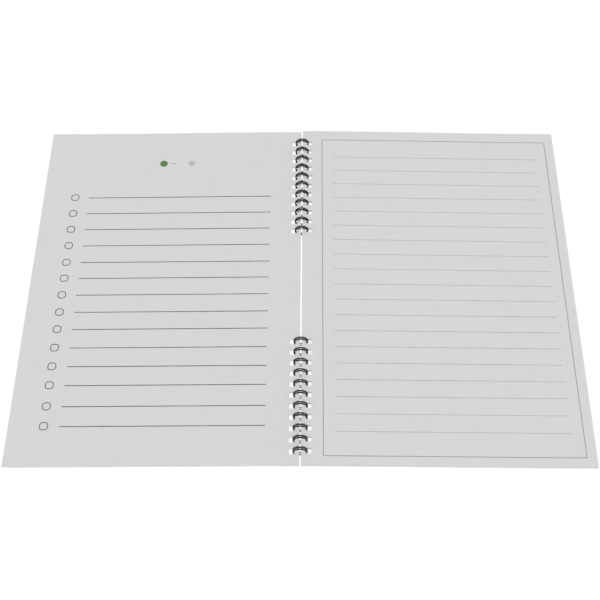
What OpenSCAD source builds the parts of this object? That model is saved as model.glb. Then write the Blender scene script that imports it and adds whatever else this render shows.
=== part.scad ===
// Spiral notebook, lying open: two covers and two blocks of leaves on two twin-loop wires.
// Millimetres. X crosses the open notebook, Y runs up its pages, and the table is Z = 0.

/* [Leaves and covers] */
// Width of every leaf and cover, spine edge to outer edge
leaf_w = 148; // [110:1:210]
// Height of every leaf and cover
leaf_h = 210; // [170:1:297]
// Thickness of one leaf
leaf_t = 0.1; // [0.08:0.01:0.14]
// Leaves turned over to the left
left_leaves = 3; // [1:1:6]
// Leaves still lying on the right
right_leaves = 14; // [4:1:15]
// Thickness of the card of each cover
cover_t = 0.4; // [0.3:0.05:0.6]
// Gap between the left and the right spine edges
spine_gap = 0.75; // [0.5:0.05:1.5]
// Width of the strip along each outer edge that lies flat on the table
rest_w = 9; // [6:1:50]
// Width of the soft bend at the top and at the foot of the slope
bend_w = 16; // [8:1:40]

/* [Twin-loop wires] */
// Diameter of the wire
wire_d = 0.7; // [0.5:0.05:0.9]
// Radius of a loop, to the middle of the wire
ring_r = 3.55; // [3.3:0.05:4.5]
// Distance between the two strands of a loop
strand_gap = 1.06; // [1:0.02:1.4]
// Distance from one double loop to the next
pitch = 6.16; // [5:0.02:8]
// Double loops on each wire
loops = 11; // [2:1:12]
// Top edge of the leaves to the first loop of the upper wire
top_margin = 9.1; // [6:0.05:14]
// Bottom edge of the leaves to the last loop of the lower wire
bottom_margin = 7.55; // [6:0.05:14]
// Radius of the bend where a strand turns into the back of the wire
bend_r = 0.5; // [0.46:0.02:0.8]
// Angle round the loop at which the back of the wire runs, 0 pointing right and -90 down
back_angle = -70; // [-80:1:-65]

/* [Punched holes and clearances] */
// Height of a hole, along the spine
hole_h = 2.7; // [2.4:0.1:4]
// Room between a loop and the strip of paper inside it
ring_clear = 0.15; // [0.1:0.01:0.4]
// Room beyond a loop at the outer end of a hole
outer_room = 1.7; // [0.5:0.05:3]
// How far the middle of the loops stands above the covers' undersides at the spine
ring_above = 1.48; // [1.3:0.02:1.7]
// Gap between the closed tip of a loop and the back of the wire
tip_gap = 0.1; // [0.05:0.05:0.3]

/* [Hidden] */
$fn = 48;
wire_r = wire_d / 2;
ring_z = ring_r + wire_r;
cut_end = 1.2;

// A bent length is a hair thicker than the wire, which reaches a little way into it.
bent_r = wire_r + 0.01;
lap = 0.04;

// The stacks ride up over the loops at the spine and slope evenly down to the table.
lift_h = ring_z - ring_above;
hole_in = sqrt(pow(ring_r - wire_r - ring_clear, 2) - pow(ring_above, 2));
hole_out = ring_r + wire_r + outer_room;
flat_in = hole_out + 1.2;
edge_in = spine_gap / 2;
edge_out = edge_in + leaf_w;
lift_out = edge_out - rest_w;
slope = lift_h / (lift_out - flat_in - bend_w);
bend_steps = 6;
stations = [
    edge_in,
    for (i = [0 : bend_steps]) flat_in + bend_w * i / bend_steps,
    for (i = [bend_steps : -1 : 0]) lift_out - bend_w * i / bend_steps,
    edge_out
];

// Heights of the layers, counted from the covers' undersides.
left_top = cover_t + left_leaves * leaf_t;
right_top = cover_t + right_leaves * leaf_t;

// Loop places along the spine.
loop_run = (loops - 1) * pitch;
upper_y = leaf_h / 2 - top_margin;
lower_y = -leaf_h / 2 + bottom_margin + loop_run;
first_loops = [upper_y, lower_y];

// Angles at which a strand starts, behind its tip, and ends, at the bend into the back.
tip_angle = back_angle + (wire_d + tip_gap + strand_gap / 2) / ring_r * 180 / PI;
bend_angle = back_angle - atan(bend_r / ring_r);
lap_angle = lap / ring_r * 180 / PI;

// Height of a stack's underside at a distance from the spine: level, bend, even slope, bend, level.
function lift(d) =
    d <= flat_in ? lift_h :
    d < flat_in + bend_w ? lift_h - slope * pow(d - flat_in, 2) / (2 * bend_w) :
    d < lift_out - bend_w ? slope * (lift_out - bend_w / 2 - d) :
    d < lift_out ? slope * pow(lift_out - d, 2) / (2 * bend_w) :
    0;

// Outline of a layer across the page, right-hand side.
function layer_outline(low, high) = concat(
    [for (d = stations) [d, lift(d) + low]],
    [for (i = [len(stations) - 1 : -1 : 0]) [stations[i], lift(stations[i]) + high]]
);

// A cover or a block of leaves, with its two rows of holes.
module layer(low, high) {
    difference() {
        rotate([90, 0, 0])
            linear_extrude(leaf_h, center = true)
                polygon(layer_outline(low, high));
        for (first = first_loops, i = [0 : loops - 1])
            translate([(hole_in + hole_out) / 2, first - i * pitch, lift_h + (low + high) / 2])
                cube([hole_out - hole_in, hole_h, high - low + 1], center = true);
    }
}

module left_side() {
    mirror([1, 0, 0]) children();
}

// Places children on the loop at an angle: X points out of the loop, Y runs along it, -Z is +Y.
module on_ring(angle) {
    rotate([90, 0, 0])
        rotate([0, 0, angle])
            translate([ring_r, 0, 0])
                children();
}

// Part of a ring of wire lying in the YZ plane round X, from one angle over a sweep.
module wire_bend(radius, start, sweep) {
    rotate([0, 90, 0])
        rotate([0, 0, start])
            rotate_extrude(angle = sweep)
                translate([radius, 0])
                    circle(bent_r);
}

// One strand, from inside the tip all the way round to the bend.
module strand() {
    rotate([90, 0, 0])
        rotate([0, 0, tip_angle - lap_angle])
            rotate_extrude(angle = 360 + bend_angle - tip_angle + 2 * lap_angle)
                translate([ring_r, 0])
                    circle(wire_r);
}

// A double loop: two strands joined by the tip, each ending in a bend away from the other.
module double_loop() {
    for (side = [-1, 1])
        translate([0, side * strand_gap / 2, 0]) strand();
    on_ring(tip_angle)
        wire_bend(strand_gap / 2, 180, 180);
    on_ring(bend_angle) {
        translate([0, 0, -strand_gap / 2 - bend_r]) wire_bend(bend_r, 90, 90);
        translate([0, 0, strand_gap / 2 + bend_r]) wire_bend(bend_r, 0, 90);
    }
}

// A straight piece of the wire's back, from the bend at y, going down the spine.
module back_piece(y, length) {
    on_ring(bend_angle)
        translate([0, bend_r, -y])
            cylinder(h = length, r = wire_r);
}

// A whole wire, bent from one length: double loops joined by the straight back.
module twin_loop_wire(first) {
    reach = strand_gap / 2 + bend_r - lap;
    translate([0, 0, ring_z]) {
        for (i = [0 : loops - 1])
            translate([0, first - i * pitch, 0]) double_loop();
        for (i = [0 : loops - 2])
            back_piece(first - i * pitch - reach, pitch - 2 * reach);
        back_piece(first + reach + cut_end, cut_end);
        back_piece(first - loop_run - reach, cut_end);
    }
}

module front_cover() {
    color([0.82, 0.82, 0.80]) left_side() layer(0, cover_t);
}

module back_cover() {
    color([0.82, 0.82, 0.80]) layer(0, cover_t);
}

module left_pages() {
    color([0.84, 0.84, 0.84]) left_side() layer(cover_t, left_top);
}

module right_pages() {
    color([0.84, 0.84, 0.84]) layer(cover_t, right_top);
}

module upper_wire() {
    color([0.08, 0.08, 0.08]) twin_loop_wire(upper_y);
}

module lower_wire() {
    color([0.08, 0.08, 0.08]) twin_loop_wire(lower_y);
}

front_cover();
back_cover();
left_pages();
right_pages();
upper_wire();
lower_wire();
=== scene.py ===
import math

import bpy
from mathutils import Matrix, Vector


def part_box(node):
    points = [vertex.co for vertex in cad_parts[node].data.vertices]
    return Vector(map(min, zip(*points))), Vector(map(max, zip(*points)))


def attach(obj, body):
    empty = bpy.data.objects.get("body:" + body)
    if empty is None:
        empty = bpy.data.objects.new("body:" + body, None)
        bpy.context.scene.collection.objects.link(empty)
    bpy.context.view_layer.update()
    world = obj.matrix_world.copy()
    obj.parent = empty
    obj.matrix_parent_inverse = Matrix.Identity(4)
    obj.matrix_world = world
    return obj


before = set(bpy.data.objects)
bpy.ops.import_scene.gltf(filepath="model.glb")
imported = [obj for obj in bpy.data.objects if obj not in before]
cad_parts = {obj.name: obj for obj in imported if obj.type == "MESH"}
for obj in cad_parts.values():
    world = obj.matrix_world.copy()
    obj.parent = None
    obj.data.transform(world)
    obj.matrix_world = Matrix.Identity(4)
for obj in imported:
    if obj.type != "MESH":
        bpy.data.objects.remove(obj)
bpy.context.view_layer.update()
scene = bpy.context.scene
mm = 0.001
print("frame loaded:", ", ".join(sorted(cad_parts)))


# view and studio

cameraView = {
    "place": (0.00505, -0.29246, 0.49251),  # metres, in front of the notebook and above it
    "down": 60.03,  # degrees below level
    "turn": -0.174,  # degrees, a hair to the right
    "roll": 0.265,
    "lens": 62.75,  # mm
    "sensor": 36,
    "shiftX": -0.0201,
    "clipStart": 0.01,
}

studio = {
    "skyStrength": 0.28,  # as the notebook sees it
    "backdrop": 1.0,  # how bright the sky looks past the edge of the floor
    "frontLight": 2.35,
    "frontSpread": 12,  # degrees across, as a softbox behind the camera looks from the page
    "frontSteeper": 3.0,  # degrees steeper than the camera looks
    "stripLight": 4.0,  # seen only as a sheen on the wire
    "stripSpread": 25,
    "stripAngle": 54,  # degrees to either side of the camera
    "floorGlow": 0.93,  # a light table, so holes and gaps read as white
    "floorTone": 0.10,
    "floorRough": 0.9,
    "floorHalf": 3.0,  # metres from the middle to an edge
}


def setUpCamera(view):
    data = bpy.data.cameras.new("pageCamera")
    data.sensor_width = view["sensor"]
    data.lens = view["lens"]
    data.shift_x = view["shiftX"]
    data.clip_start = view["clipStart"]
    camera = bpy.data.objects.new("pageCamera", data)
    camera.matrix_world = (
        Matrix.Translation(view["place"])
        @ Matrix.Rotation(math.radians(view["turn"]), 4, "Z")
        @ Matrix.Rotation(math.radians(90 - view["down"]), 4, "X")
        @ Matrix.Rotation(math.radians(view["roll"]), 4, "Z")
    )
    scene.collection.objects.link(camera)
    scene.camera = camera


def addLamp(name, strength, spread, aside, steeper=0):
    # a far light; it shines the way the camera looks, but from some degrees aside or further up
    data = bpy.data.lights.new(name, "SUN")
    data.energy = strength
    data.angle = math.radians(spread)
    lamp = bpy.data.objects.new(name, data)
    lamp.matrix_world = (
        scene.camera.matrix_world
        @ Matrix.Rotation(math.radians(aside), 4, "Y")
        @ Matrix.Rotation(math.radians(-steeper), 4, "X")
    )
    scene.collection.objects.link(lamp)
    return lamp


def setUpSky(look):
    # dim for everything but the camera, which sees it white past the edge of the floor
    world = bpy.data.worlds.new("whiteStudio")
    world.use_nodes = True
    sky = world.node_tree.nodes["Background"]
    sky.inputs["Color"].default_value = (1, 1, 1, 1)
    path = world.node_tree.nodes.new("ShaderNodeLightPath")
    strength = world.node_tree.nodes.new("ShaderNodeMapRange")
    strength.inputs["To Min"].default_value = look["skyStrength"]
    strength.inputs["To Max"].default_value = look["backdrop"]
    world.node_tree.links.new(path.outputs["Is Camera Ray"], strength.inputs["Value"])
    world.node_tree.links.new(strength.outputs["Result"], sky.inputs["Strength"])
    scene.world = world


def setUpLamps(look):
    # the softbox shines nearly the way the camera looks, so its soft shadows fall behind the wire
    softbox = addLamp("softbox", look["frontLight"], look["frontSpread"], 0, look["frontSteeper"])
    softbox.visible_glossy = False
    for name, side in (("stripLeft", -1), ("stripRight", 1)):
        strip = addLamp(name, look["stripLight"], look["stripSpread"], side * look["stripAngle"])
        strip.visible_diffuse = False


def setUpFloor(look):
    half = look["floorHalf"]
    corners = [(-half, -half, 0), (half, -half, 0), (half, half, 0), (-half, half, 0)]
    mesh = bpy.data.meshes.new("floor")
    mesh.from_pydata(corners, [], [(0, 1, 2, 3)])
    floor = bpy.data.objects.new("floor", mesh)
    scene.collection.objects.link(floor)
    paint = bpy.data.materials.new("paleFloor")
    paint.use_nodes = True
    shader = paint.node_tree.nodes["Principled BSDF"]
    tone = look["floorTone"]
    shader.inputs["Base Color"].default_value = (tone, tone, tone, 1)
    shader.inputs["Roughness"].default_value = look["floorRough"]
    shader.inputs["Specular IOR Level"].default_value = 0
    shader.inputs["Emission Color"].default_value = (1, 1, 1, 1)
    shader.inputs["Emission Strength"].default_value = look["floorGlow"]
    mesh.materials.append(paint)


setUpCamera(cameraView)
setUpSky(studio)
setUpLamps(studio)
setUpFloor(studio)
scene.view_settings.view_transform = "Standard"
print("camera and studio ready")


# small helpers for node trees

def addNode(tree, kind, x, y, **settings):
    node = tree.nodes.new(kind)
    node.location = (x, y)
    for key, value in settings.items():
        setattr(node, key, value)
    return node


def addMath(tree, operation, x, y, first, second=None):
    node = addNode(tree, "ShaderNodeMath", x, y, operation=operation)
    for index, value in enumerate((first, second)):
        if value is None:
            continue
        if isinstance(value, bpy.types.NodeSocket):
            tree.links.new(value, node.inputs[index])
        else:
            node.inputs[index].default_value = value
    return node.outputs[0]


def mixColour(tree, x, y, factor, first, second):
    node = addNode(tree, "ShaderNodeMix", x, y, data_type="RGBA")
    tree.links.new(factor, node.inputs[0])
    tree.links.new(first, node.inputs[6])  # A and B of the colour sockets
    node.inputs[7].default_value = second
    return node.outputs[2]


def addRamp(tree, x, y, factor, start, end):
    # start and end are a position and a colour each
    node = addNode(tree, "ShaderNodeValToRGB", x, y)
    for element, (position, colour) in zip(node.color_ramp.elements, (start, end)):
        element.position = position
        element.color = colour
    tree.links.new(factor, node.inputs["Fac"])
    return node.outputs["Color"]


def addRoughness(tree, shader, x, y, pattern, low, high):
    node = addNode(tree, "ShaderNodeMapRange", x, y)
    node.inputs["To Min"].default_value = low
    node.inputs["To Max"].default_value = high
    tree.links.new(pattern, node.inputs["Value"])
    tree.links.new(node.outputs["Result"], shader.inputs["Roughness"])


def addBump(tree, shader, height, strength, depth):
    node = addNode(tree, "ShaderNodeBump", -300, -300)
    node.inputs["Strength"].default_value = strength
    node.inputs["Distance"].default_value = depth
    tree.links.new(height, node.inputs["Height"])
    tree.links.new(node.outputs["Normal"], shader.inputs["Normal"])


def addInput(tree, name, kind, value=None):
    socket = tree.interface.new_socket(name=name, in_out="INPUT", socket_type=kind)
    if value is not None:
        socket.default_value = value


def newMaterial(name):
    material = bpy.data.materials.new(name)
    material.use_nodes = True
    return material, material.node_tree, material.node_tree.nodes["Principled BSDF"]


def addGroup(tree, group, x, y, values):
    node = addNode(tree, "ShaderNodeGroup", x, y, node_tree=group)
    for name, value in values.items():
        node.inputs[name].default_value = value
    return node


# paper, card and their edges

stackShape = {  # follows the solids
    "coverThick": 0.4 * mm,
    "leafThick": 0.1 * mm,
    "levelTo": 6.8 * mm,  # level from the spine out to here
    "bendWidth": 16 * mm,  # soft bend at either end of the slope
    "restWidth": 9 * mm,  # flat on the table along the outer edge
    "gapShadeStart": 0.36,  # where the painted shade of the gap between two leaves starts, out from a leaf's middle
    "gapShadeFull": 0.49,  # where the painted shade is darkest; the leaf's own face is at 0.5
    "cutFacing": 0.5,  # a face whose normal rises less than this is a cut side
}

fibreShape = {
    "cloudDetail": 4,
    "cloudRoughness": 0.6,
    "cloudShare": 0.55,  # of the tone; the fibres have the rest
    "fibreDetail": 2,
    "fibreStretch": 0.22,  # how fast the pattern changes along a fibre, against 1 across it
    "fibreTurns": (0.6, -0.9),  # radians, so that the fibres cross
    "fibreShare": 0.45,
}

sheetFinish = {
    "deepUpTo": 0.35,  # of the fibre pattern's tone
    "paleFrom": 0.62,
    "roughSwing": 0.06,  # to either side of the sheet's roughness
    "sheen": 0.3,
}

paperLook = {
    "pale": (0.711, 0.711, 0.711, 1),
    "deep": (0.692, 0.692, 0.690, 1),
    "cloudScale": 170.0,  # features per metre
    "fibreScale": 2600.0,
    "roughness": 0.86,
    "edgeLeaf": (0.655, 0.655, 0.650, 1),
    # painted shade for the gaps between the leaves on the cut sides
    "edgeGapShade": (0.44, 0.44, 0.435, 1),
    "bumpDepth": 0.02 * mm,
    "bumpStrength": 0.25,
}

cardLook = {
    "pale": (0.708, 0.707, 0.702, 1),
    "deep": (0.684, 0.682, 0.675, 1),
    "cloudScale": 90.0,
    "fibreScale": 1300.0,
    "roughness": 0.62,
    "bumpDepth": 0.04 * mm,
    "bumpStrength": 0.35,
}


def makeFibreGroup(shape):
    # cloudy formation and short crossing fibres, as paper has when it is held close
    group = bpy.data.node_groups.new("paperFibre", "ShaderNodeTree")
    addInput(group, "Vector", "NodeSocketVector")
    addInput(group, "Cloud Scale", "NodeSocketFloat", paperLook["cloudScale"])
    addInput(group, "Fibre Scale", "NodeSocketFloat", paperLook["fibreScale"])
    for name in ("Tone", "Height"):
        group.interface.new_socket(name=name, in_out="OUTPUT", socket_type="NodeSocketFloat")
    source = addNode(group, "NodeGroupInput", -900, 0)
    target = addNode(group, "NodeGroupOutput", 500, 0)
    link = group.links.new

    cloud = addNode(group, "ShaderNodeTexNoise", -600, 260)
    cloud.inputs["Detail"].default_value = shape["cloudDetail"]
    cloud.inputs["Roughness"].default_value = shape["cloudRoughness"]
    link(source.outputs["Vector"], cloud.inputs["Vector"])
    link(source.outputs["Cloud Scale"], cloud.inputs["Scale"])

    strands = []
    for turn, y in zip(shape["fibreTurns"], (0, -260)):
        lay = addNode(group, "ShaderNodeMapping", -700, y)
        lay.inputs["Rotation"].default_value = (0, 0, turn)
        lay.inputs["Scale"].default_value = (1, shape["fibreStretch"], 1)
        link(source.outputs["Vector"], lay.inputs["Vector"])
        fibre = addNode(group, "ShaderNodeTexNoise", -480, y)
        fibre.inputs["Detail"].default_value = shape["fibreDetail"]
        link(lay.outputs["Vector"], fibre.inputs["Vector"])
        link(source.outputs["Fibre Scale"], fibre.inputs["Scale"])
        strands.append(fibre.outputs["Fac"])
    crossing = addMath(group, "MAXIMUM", -240, -120, *strands)
    blend = addMath(group, "MULTIPLY", -40, -60, crossing, shape["fibreShare"])
    cloudy = addMath(group, "MULTIPLY", -240, 220, cloud.outputs["Fac"], shape["cloudShare"])
    tone = addMath(group, "ADD", 160, 100, cloudy, blend)
    link(tone, target.inputs["Tone"])
    link(crossing, target.inputs["Height"])
    return group


def addBend(tree, x, y, distance, start, width):
    # nothing up to the start, a parabola over the width, an even rise beyond it
    beyond = addMath(tree, "SUBTRACT", x, y, distance, start)
    started = addMath(tree, "MAXIMUM", x + 160, y, beyond, 0)
    inside = addMath(tree, "MINIMUM", x + 320, y, started, width)
    square = addMath(tree, "MULTIPLY", x + 480, y, inside, inside)
    curved = addMath(tree, "DIVIDE", x + 640, y, square, 2 * width)
    past = addMath(tree, "SUBTRACT", x + 480, y - 160, beyond, width)
    further = addMath(tree, "MAXIMUM", x + 640, y - 160, past, 0)
    return addMath(tree, "ADD", x + 800, y, curved, further)


def makeEdgeGroup(shape):
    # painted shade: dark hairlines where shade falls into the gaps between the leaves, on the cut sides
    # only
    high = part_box("back_cover")[1]
    liftHigh = high.z - shape["coverThick"]
    footStart = high.x - shape["restWidth"] - shape["bendWidth"]
    slope = liftHigh / (footStart - shape["levelTo"])
    group = bpy.data.node_groups.new("leafEdges", "ShaderNodeTree")
    addInput(group, "Vector", "NodeSocketVector")
    addInput(group, "Normal", "NodeSocketVector")
    # Line is the painted shade of the gaps between leaves; Leaf is a random tone for each leaf
    for name in ("Line", "Leaf"):
        group.interface.new_socket(name=name, in_out="OUTPUT", socket_type="NodeSocketFloat")
    source = addNode(group, "NodeGroupInput", -1300, 0)
    target = addNode(group, "NodeGroupOutput", 700, 0)
    link = group.links.new

    place = addNode(group, "ShaderNodeSeparateXYZ", -1100, 100)
    link(source.outputs["Vector"], place.inputs[0])
    away = addMath(group, "ABSOLUTE", -900, 200, place.outputs["X"])
    topBend = addBend(group, -2000, 700, away, shape["levelTo"], shape["bendWidth"])
    footBend = addBend(group, -2000, 400, away, footStart, shape["bendWidth"])
    bent = addMath(group, "SUBTRACT", -920, 400, topBend, footBend)
    drop = addMath(group, "MULTIPLY", -760, 400, bent, slope)
    fallen = addMath(group, "ADD", -480, 120, place.outputs["Z"], drop)
    above = addMath(group, "SUBTRACT", -300, 120, fallen, liftHigh + shape["coverThick"])
    count = addMath(group, "DIVIDE", -120, 120, above, shape["leafThick"])
    part = addMath(group, "FRACT", 60, 200, count)
    middle = addMath(group, "SUBTRACT", 60, 60, part, 0.5)
    spread = addMath(group, "ABSOLUTE", 220, 60, middle)
    # painted shade, darkest where one leaf meets the next
    gapShade = addNode(group, "ShaderNodeMapRange", 220, 260, interpolation_type="SMOOTHSTEP")
    link(spread, gapShade.inputs["Value"])
    gapShade.inputs["From Min"].default_value = shape["gapShadeStart"]
    gapShade.inputs["From Max"].default_value = shape["gapShadeFull"]

    facing = addNode(group, "ShaderNodeSeparateXYZ", -300, -160)
    link(source.outputs["Normal"], facing.inputs[0])
    upright = addMath(group, "ABSOLUTE", -120, -160, facing.outputs["Z"])
    sideways = addMath(group, "LESS_THAN", 60, -160, upright, shape["cutFacing"])
    # the painted gap shade, kept to the cut sides
    line = addMath(group, "MULTIPLY", 480, 160, gapShade.outputs["Result"], sideways)
    link(line, target.inputs["Line"])

    whole = addMath(group, "FLOOR", 60, -320, count)
    leafTone = addNode(group, "ShaderNodeTexWhiteNoise", 220, -320, noise_dimensions="1D")
    link(whole, leafTone.inputs["W"])
    leaf = addMath(group, "MULTIPLY", 480, -240, leafTone.outputs["Value"], sideways)
    link(leaf, target.inputs["Leaf"])
    return group


fibreGroup = makeFibreGroup(fibreShape)
edgeGroup = makeEdgeGroup(stackShape)


def addFibre(tree, look):
    # the fibre pattern at a sheet's own scales, with the coordinates that it reads
    place = addNode(tree, "ShaderNodeTexCoord", -1400, 0)
    scales = {"Cloud Scale": look["cloudScale"], "Fibre Scale": look["fibreScale"]}
    fibre = addGroup(tree, fibreGroup, -1100, 0, scales)
    tree.links.new(place.outputs["Object"], fibre.inputs["Vector"])
    return place, fibre


def finishSheet(tree, shader, fibre, look, finish):
    # the bump and roughness that paper and card share; returns the colour
    height = fibre.outputs["Height"]
    addBump(tree, shader, height, look["bumpStrength"], look["bumpDepth"])
    low = look["roughness"] - finish["roughSwing"]
    high = look["roughness"] + finish["roughSwing"]
    addRoughness(tree, shader, -600, -60, height, low, high)
    shader.inputs["Specular IOR Level"].default_value = finish["sheen"]
    deep = (finish["deepUpTo"], look["deep"])
    pale = (finish["paleFrom"], look["pale"])
    return addRamp(tree, -850, 200, fibre.outputs["Tone"], deep, pale)


def makePaper(look):
    material, tree, shader = newMaterial("uncoatedPaper")
    place, fibre = addFibre(tree, look)
    colour = finishSheet(tree, shader, fibre, look, sheetFinish)
    edge = addGroup(tree, edgeGroup, -1100, 400, {})
    tree.links.new(place.outputs["Object"], edge.inputs["Vector"])
    tree.links.new(place.outputs["Normal"], edge.inputs["Normal"])
    shaded = mixColour(tree, -560, 360, edge.outputs["Leaf"], colour, look["edgeLeaf"])
    # painted shade in the gaps between the leaves, on the cut sides
    gapShaded = mixColour(tree, -300, 300, edge.outputs["Line"], shaded, look["edgeGapShade"])
    tree.links.new(gapShaded, shader.inputs["Base Color"])
    return material


def makeCard(look):
    material, tree, shader = newMaterial("coverCard")
    fibre = addFibre(tree, look)[1]
    colour = finishSheet(tree, shader, fibre, look, sheetFinish)
    tree.links.new(colour, shader.inputs["Base Color"])
    return material


# wire

wireLook = {
    "black": (0.004, 0.004, 0.0045, 1),
    "rubbed": (0.010, 0.010, 0.011, 1),
    "steel": (0.42, 0.42, 0.43, 1),
    "blackUpTo": 0.45,  # of the wear pattern
    "rubbedFrom": 0.75,
    "smoothest": 0.26,  # roughness
    "roughest": 0.44,
    "sheen": 0.22,
    "dimpleScale": 5200.0,  # features per metre
    "dimpleDetail": 3,
    "dimpleDepth": 0.008 * mm,
    "dimpleStrength": 0.4,
    "wearWider": 12,  # times as wide as the dimples
    "cutDepth": 0.03 * mm,  # bare steel shows this far in from a cut end
}


def makeWire(look, wire):
    # nylon-coated wire, bare where it was cut to length
    low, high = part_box(wire)
    material, tree, shader = newMaterial(wire + "_coating")
    link = tree.links.new
    place = addNode(tree, "ShaderNodeTexCoord", -1300, 0)
    dimples = addNode(tree, "ShaderNodeTexNoise", -1000, -200)
    dimples.inputs["Scale"].default_value = look["dimpleScale"]
    dimples.inputs["Detail"].default_value = look["dimpleDetail"]
    link(place.outputs["Object"], dimples.inputs["Vector"])

    wear = addNode(tree, "ShaderNodeTexNoise", -1000, 100)
    wear.inputs["Scale"].default_value = look["dimpleScale"] / look["wearWider"]
    link(place.outputs["Object"], wear.inputs["Vector"])
    black = (look["blackUpTo"], look["black"])
    rubbed = (look["rubbedFrom"], look["rubbed"])
    coating = addRamp(tree, -760, 100, wear.outputs["Fac"], black, rubbed)

    spot = addNode(tree, "ShaderNodeSeparateXYZ", -1000, 400)
    link(place.outputs["Object"], spot.inputs[0])
    topEnd = addMath(tree, "GREATER_THAN", -760, 460, spot.outputs["Y"], high.y - look["cutDepth"])
    lowEnd = addMath(tree, "LESS_THAN", -760, 320, spot.outputs["Y"], low.y + look["cutDepth"])
    bare = addMath(tree, "MAXIMUM", -560, 400, topEnd, lowEnd)
    link(mixColour(tree, -300, 200, bare, coating, look["steel"]), shader.inputs["Base Color"])
    link(bare, shader.inputs["Metallic"])

    addRoughness(tree, shader, -600, -100, dimples.outputs["Fac"], look["smoothest"], look["roughest"])
    addBump(tree, shader, dimples.outputs["Fac"], look["dimpleStrength"], look["dimpleDepth"])
    shader.inputs["Specular IOR Level"].default_value = look["sheen"]
    return material


paper = makePaper(paperLook)
card = makeCard(cardLook)
finishes = {
    "left_pages": paper,
    "right_pages": paper,
    "front_cover": card,
    "back_cover": card,
    "upper_wire": makeWire(wireLook, "upper_wire"),
    "lower_wire": makeWire(wireLook, "lower_wire"),
}
for name, material in finishes.items():
    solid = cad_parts[name]
    solid.data.materials.clear()
    solid.data.materials.append(material)
print("materials on", len(finishes), "solids")


# printing inks

inkLook = {
    "darkGrey": (0.045, 0.045, 0.045, 1),
    "boxGrey": (0.090, 0.145, 0.080, 1),
    "frameGrey": (0.34, 0.34, 0.34, 1),
    "paleGrey": (0.39, 0.39, 0.39, 1),
    "green": (0.097, 0.224, 0.058, 1),
    "dotGrey": (0.50, 0.50, 0.475, 1),
}

inkFinish = {
    "cloudScale": 600.0,
    "fibreScale": paperLook["fibreScale"],
    "fullUpTo": 0.40,  # of the fibre pattern's tone
    "thinFrom": 0.80,
    "thinShare": 0.85,  # where the ink is thin, it keeps this share of its colour
    "thinPaper": 0.08,  # and this much of the paper shows through
    "bumpStrength": 0.2,
    "roughness": 0.7,
    "sheen": 0.3,
}


def makeInk(name, colour, look):
    # the ink takes a little less on the paper's high fibres
    material, tree, shader = newMaterial(name + "_ink")
    fibre = addFibre(tree, look)[1]
    thin = [look["thinShare"] * part + look["thinPaper"] for part in colour[:3]] + [1]
    ends = ((look["fullUpTo"], colour), (look["thinFrom"], thin))
    tree.links.new(addRamp(tree, -800, 200, fibre.outputs["Tone"], *ends), shader.inputs["Base Color"])
    addBump(tree, shader, fibre.outputs["Height"], look["bumpStrength"], paperLook["bumpDepth"])
    shader.inputs["Roughness"].default_value = look["roughness"]
    shader.inputs["Specular IOR Level"].default_value = look["sheen"]
    return material


inks = {name: makeInk(name, colour, inkFinish) for name, colour in inkLook.items()}


# print on the open pages

film = {
    "thick": 0.03 * mm,
    "proud": 0.02 * mm,  # how far its top stands over the paper
    "step": 1.5 * mm,  # spacing of the points that follow the page
    "seekFrom": 50 * mm,  # the page is looked for straight down from this height
    "seekLength": 100 * mm,
    "cornerSteps": 6,
    "dotSides": 48,
    "dotRings": 4,
}

leafBodies = {"left_pages": "left_leaves", "right_pages": "right_leaves"}

# places and sizes of the print are in millimetres, counted from the middle of the spine

leftRules = {
    "middleX": -70.05,
    "length": 104.5,
    "width": 0.425,
    # the rows aren't quite evenly spaced
    "rowY": (58.4, 47.4, 36.5, 25.6, 14.6, 4.3, -6.3, -17.0, -27.5, -38.6, -49.6, -60.5, -72.4, -83.4),
}

tickBoxes = {
    "middleX": -130.2,
    "width": 4.1,
    "height": 4.0,
    "corner": 1.5,
    "line": 0.50,
    "rise": 0.3,  # over the rule beside it
}

pageHeading = {
    "y": 82.4,
    "greenDot": (-80.9, 4.5),  # middle and diameter
    "dash": (-75.3, 2.4, 0.54),  # middle, length and width
    "greyDot": (-64.6, 3.75),
}

rightFrame = {
    "middleX": 77.4,
    "middleY": -0.8,
    "width": 131.5,
    "height": 198.5,
    "corner": 0.3,
    "line": 0.46,
    "cuts": 70,  # along each side, so that it follows the page
}

rightRules = {
    "middleX": 77.5,
    "length": 119.5,
    "width": 0.27,
    "topY": 85.8,
    "pitch": 9.6,
    "count": 19,
}


def startTree(name, sizes):
    # the inputs that every print has, and its own sizes
    tree = bpy.data.node_groups.new(name, "GeometryNodeTree")
    addInput(tree, "Geometry", "NodeSocketGeometry")
    addInput(tree, "Page", "NodeSocketObject")
    addInput(tree, "Ink", "NodeSocketMaterial")
    for size in sizes:
        addInput(tree, size, "NodeSocketFloat", 1 * mm)
    tree.interface.new_socket(name="Geometry", in_out="OUTPUT", socket_type="NodeSocketGeometry")
    source = addNode(tree, "NodeGroupInput", -1600, 0)
    return tree, source


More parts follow.
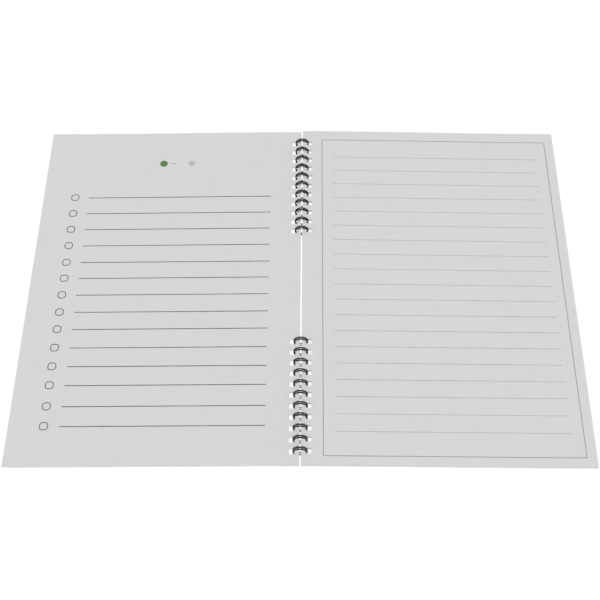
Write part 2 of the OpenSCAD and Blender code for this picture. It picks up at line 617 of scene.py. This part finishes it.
def finishTree(tree, source, shape):
    # one copy of the shape on each point, laid down on the page, then inked
    link = tree.links.new
    copies = addNode(tree, "GeometryNodeInstanceOnPoints", 0, 0)
    link(source.outputs["Geometry"], copies.inputs["Points"])
    link(shape, copies.inputs["Instance"])
    real = addNode(tree, "GeometryNodeRealizeInstances", 200, 0)
    link(copies.outputs["Instances"], real.inputs["Geometry"])

    page = addNode(tree, "GeometryNodeObjectInfo", 0, -300, transform_space="ORIGINAL")
    link(source.outputs["Page"], page.inputs["Object"])
    here = addNode(tree, "GeometryNodeInputPosition", -400, -400)
    split = addNode(tree, "ShaderNodeSeparateXYZ", -200, -400)
    link(here.outputs[0], split.inputs[0])
    start = addNode(tree, "ShaderNodeCombineXYZ", 0, -500)
    link(split.outputs["X"], start.inputs["X"])
    link(split.outputs["Y"], start.inputs["Y"])
    start.inputs["Z"].default_value = film["seekFrom"]
    ray = addNode(tree, "GeometryNodeRaycast", 220, -300)
    link(page.outputs["Geometry"], ray.inputs["Target Geometry"])
    link(start.outputs[0], ray.inputs["Source Position"])
    ray.inputs["Ray Direction"].default_value = (0, 0, -1)
    ray.inputs["Ray Length"].default_value = film["seekLength"]
    hit = addNode(tree, "ShaderNodeSeparateXYZ", 420, -300)
    link(ray.outputs["Hit Position"], hit.inputs[0])
    height = addMath(tree, "ADD", 600, -300, hit.outputs["Z"], split.outputs["Z"])
    put = addNode(tree, "ShaderNodeCombineXYZ", 780, -300)
    link(split.outputs["X"], put.inputs["X"])
    link(split.outputs["Y"], put.inputs["Y"])
    link(height, put.inputs["Z"])
    lay = addNode(tree, "GeometryNodeSetPosition", 980, 0)
    link(real.outputs["Geometry"], lay.inputs["Geometry"])
    link(put.outputs[0], lay.inputs["Position"])
    plain = addNode(tree, "GeometryNodeSetShadeSmooth", 1180, 0)  # flat ink, with no rounded look
    link(lay.outputs["Geometry"], plain.inputs["Geometry"])
    plain.inputs["Shade Smooth"].default_value = False
    ink = addNode(tree, "GeometryNodeSetMaterial", 1380, 0)
    link(plain.outputs["Geometry"], ink.inputs["Geometry"])
    link(source.outputs["Ink"], ink.inputs["Material"])
    target = addNode(tree, "NodeGroupOutput", 1580, 0)
    link(ink.outputs["Geometry"], target.inputs["Geometry"])
    return tree


def addRibbon(tree, source, path):
    # a flat closed ribbon of ink along a path
    link = tree.links.new
    flat = addNode(tree, "GeometryNodeSetCurveNormal", -500, 0, mode="Z_UP")
    link(path, flat.inputs["Curve"])
    section = addNode(tree, "GeometryNodeCurvePrimitiveQuadrilateral", -500, -200)
    link(source.outputs["Line"], section.inputs["Width"])
    link(source.outputs["Film"], section.inputs["Height"])
    ribbon = addNode(tree, "GeometryNodeCurveToMesh", -250, 0)
    link(flat.outputs["Curve"], ribbon.inputs["Curve"])
    link(section.outputs["Curve"], ribbon.inputs["Profile Curve"])
    ribbon.inputs["Fill Caps"].default_value = True
    return ribbon.outputs["Mesh"]


def makeRuleTree():
    tree, source = startTree("ruledLines", ("Length", "Line", "Film", "Step"))
    link = tree.links.new
    half = addMath(tree, "MULTIPLY", -1400, 0, source.outputs["Length"], 0.5)
    back = addMath(tree, "MULTIPLY", -1400, -200, source.outputs["Length"], -0.5)
    rule = addNode(tree, "GeometryNodeCurvePrimitiveLine", -1000, 0)
    for value, socket, y in ((back, "Start", 0), (half, "End", -200)):
        end = addNode(tree, "ShaderNodeCombineXYZ", -1200, y)
        link(value, end.inputs["X"])
        link(end.outputs[0], rule.inputs[socket])
    steps = addNode(tree, "GeometryNodeResampleCurve", -750, 0, mode="LENGTH")
    link(rule.outputs["Curve"], steps.inputs["Curve"])
    link(source.outputs["Step"], steps.inputs["Length"])
    return finishTree(tree, source, addRibbon(tree, source, steps.outputs["Curve"]))


def makeOutlineTree():
    tree, source = startTree("boxOutline", ("Width", "Height", "Corner", "Line", "Film"))
    addInput(tree, "Cuts", "NodeSocketInt", 0)
    link = tree.links.new
    box = addNode(tree, "GeometryNodeCurvePrimitiveQuadrilateral", -1200, 0)
    link(source.outputs["Width"], box.inputs["Width"])
    link(source.outputs["Height"], box.inputs["Height"])
    arcSteps = film["cornerSteps"]
    corner = addNode(tree, "GeometryNodeFilletCurve", -1000, 0, mode="POLY")
    corner.inputs["Count"].default_value = arcSteps
    link(box.outputs["Curve"], corner.inputs["Curve"])
    link(source.outputs["Corner"], corner.inputs["Radius"])
    # only the four straight sides are cut up; each starts at the last point of a corner
    order = addNode(tree, "GeometryNodeInputIndex", -1400, -300)
    turn = addMath(tree, "MODULO", -1240, -300, order.outputs["Index"], arcSteps + 1)
    straight = addMath(tree, "GREATER_THAN", -1080, -300, turn, arcSteps - 0.5)
    share = addMath(tree, "MULTIPLY", -920, -300, straight, source.outputs["Cuts"])
    cuts = addNode(tree, "GeometryNodeSubdivideCurve", -750, 0)
    link(corner.outputs["Curve"], cuts.inputs["Curve"])
    link(share, cuts.inputs["Cuts"])
    return finishTree(tree, source, addRibbon(tree, source, cuts.outputs["Curve"]))


def makeDotTree():
    tree, source = startTree("inkDot", ("Diameter", "Film"))
    dot = addNode(tree, "GeometryNodeMeshCylinder", -300, 0)
    dot.inputs["Vertices"].default_value = film["dotSides"]
    dot.inputs["Fill Segments"].default_value = film["dotRings"]
    radius = addMath(tree, "MULTIPLY", -600, 0, source.outputs["Diameter"], 0.5)
    tree.links.new(radius, dot.inputs["Radius"])
    tree.links.new(source.outputs["Film"], dot.inputs["Depth"])
    return finishTree(tree, source, dot.outputs["Mesh"])


def printOnPage(name, tree, places, page, ink, sizes, cuts=0):
    # places and sizes are in millimetres; the finished print is a plain mesh that turns with its leaves
    lift = film["proud"] - film["thick"] / 2
    points = bpy.data.meshes.new(name + "Places")
    points.from_pydata([(x * mm, y * mm, lift) for x, y in places], [], [])
    holder = bpy.data.objects.new(name + "Places", points)
    scene.collection.objects.link(holder)
    modifier = holder.modifiers.new("print", "NODES")
    modifier.node_group = tree
    values = {"Page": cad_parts[page], "Ink": inks[ink], "Cuts": cuts}
    values.update({"Film": film["thick"], "Step": film["step"]})
    values.update({size: length * mm for size, length in sizes.items()})
    for socket in tree.interface.items_tree:
        if socket.item_type == "SOCKET" and socket.in_out == "INPUT" and socket.name in values:
            modifier[socket.identifier] = values[socket.name]
    holder.update_tag()
    bpy.context.view_layer.update()
    evaluated = holder.evaluated_get(bpy.context.evaluated_depsgraph_get())
    mesh = bpy.data.meshes.new_from_object(evaluated)
    mesh.name = name
    bpy.data.objects.remove(holder)
    piece = bpy.data.objects.new(name, mesh)
    scene.collection.objects.link(piece)
    body = leafBodies[page]
    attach(piece, body)
    print("printed", name, "on", page, "with", len(mesh.polygons), "faces")


ruleTree = makeRuleTree()
outlineTree = makeOutlineTree()
dotTree = makeDotTree()

printOnPage(
    "leftRules", ruleTree, [(leftRules["middleX"], y) for y in leftRules["rowY"]],
    "left_pages", "darkGrey", {"Length": leftRules["length"], "Line": leftRules["width"]},
)
printOnPage(
    "tickBoxes", outlineTree, [(tickBoxes["middleX"], y + tickBoxes["rise"]) for y in leftRules["rowY"]],
    "left_pages", "boxGrey",
    {
        "Width": tickBoxes["width"],
        "Height": tickBoxes["height"],
        "Corner": tickBoxes["corner"],
        "Line": tickBoxes["line"],
    },
)

greenX, greenDiameter = pageHeading["greenDot"]
dashX, dashLength, dashWidth = pageHeading["dash"]
greyX, greyDiameter = pageHeading["greyDot"]
printOnPage(
    "headingGreenDot", dotTree, [(greenX, pageHeading["y"])],
    "left_pages", "green", {"Diameter": greenDiameter},
)
printOnPage(
    "headingDash", ruleTree, [(dashX, pageHeading["y"])],
    "left_pages", "frameGrey", {"Length": dashLength, "Line": dashWidth},
)
printOnPage(
    "headingGreyDot", dotTree, [(greyX, pageHeading["y"])],
    "left_pages", "dotGrey", {"Diameter": greyDiameter},
)

printOnPage(
    "rightFrame", outlineTree, [(rightFrame["middleX"], rightFrame["middleY"])],
    "right_pages", "frameGrey",
    {
        "Width": rightFrame["width"],
        "Height": rightFrame["height"],
        "Corner": rightFrame["corner"],
        "Line": rightFrame["line"],
    },
    cuts=rightFrame["cuts"],
)
rightRows = [rightRules["topY"] - row * rightRules["pitch"] for row in range(rightRules["count"])]
printOnPage(
    "rightRules", ruleTree, [(rightRules["middleX"], y) for y in rightRows],
    "right_pages", "paleGrey", {"Length": rightRules["length"], "Line": rightRules["width"]},
)


print("scene built")
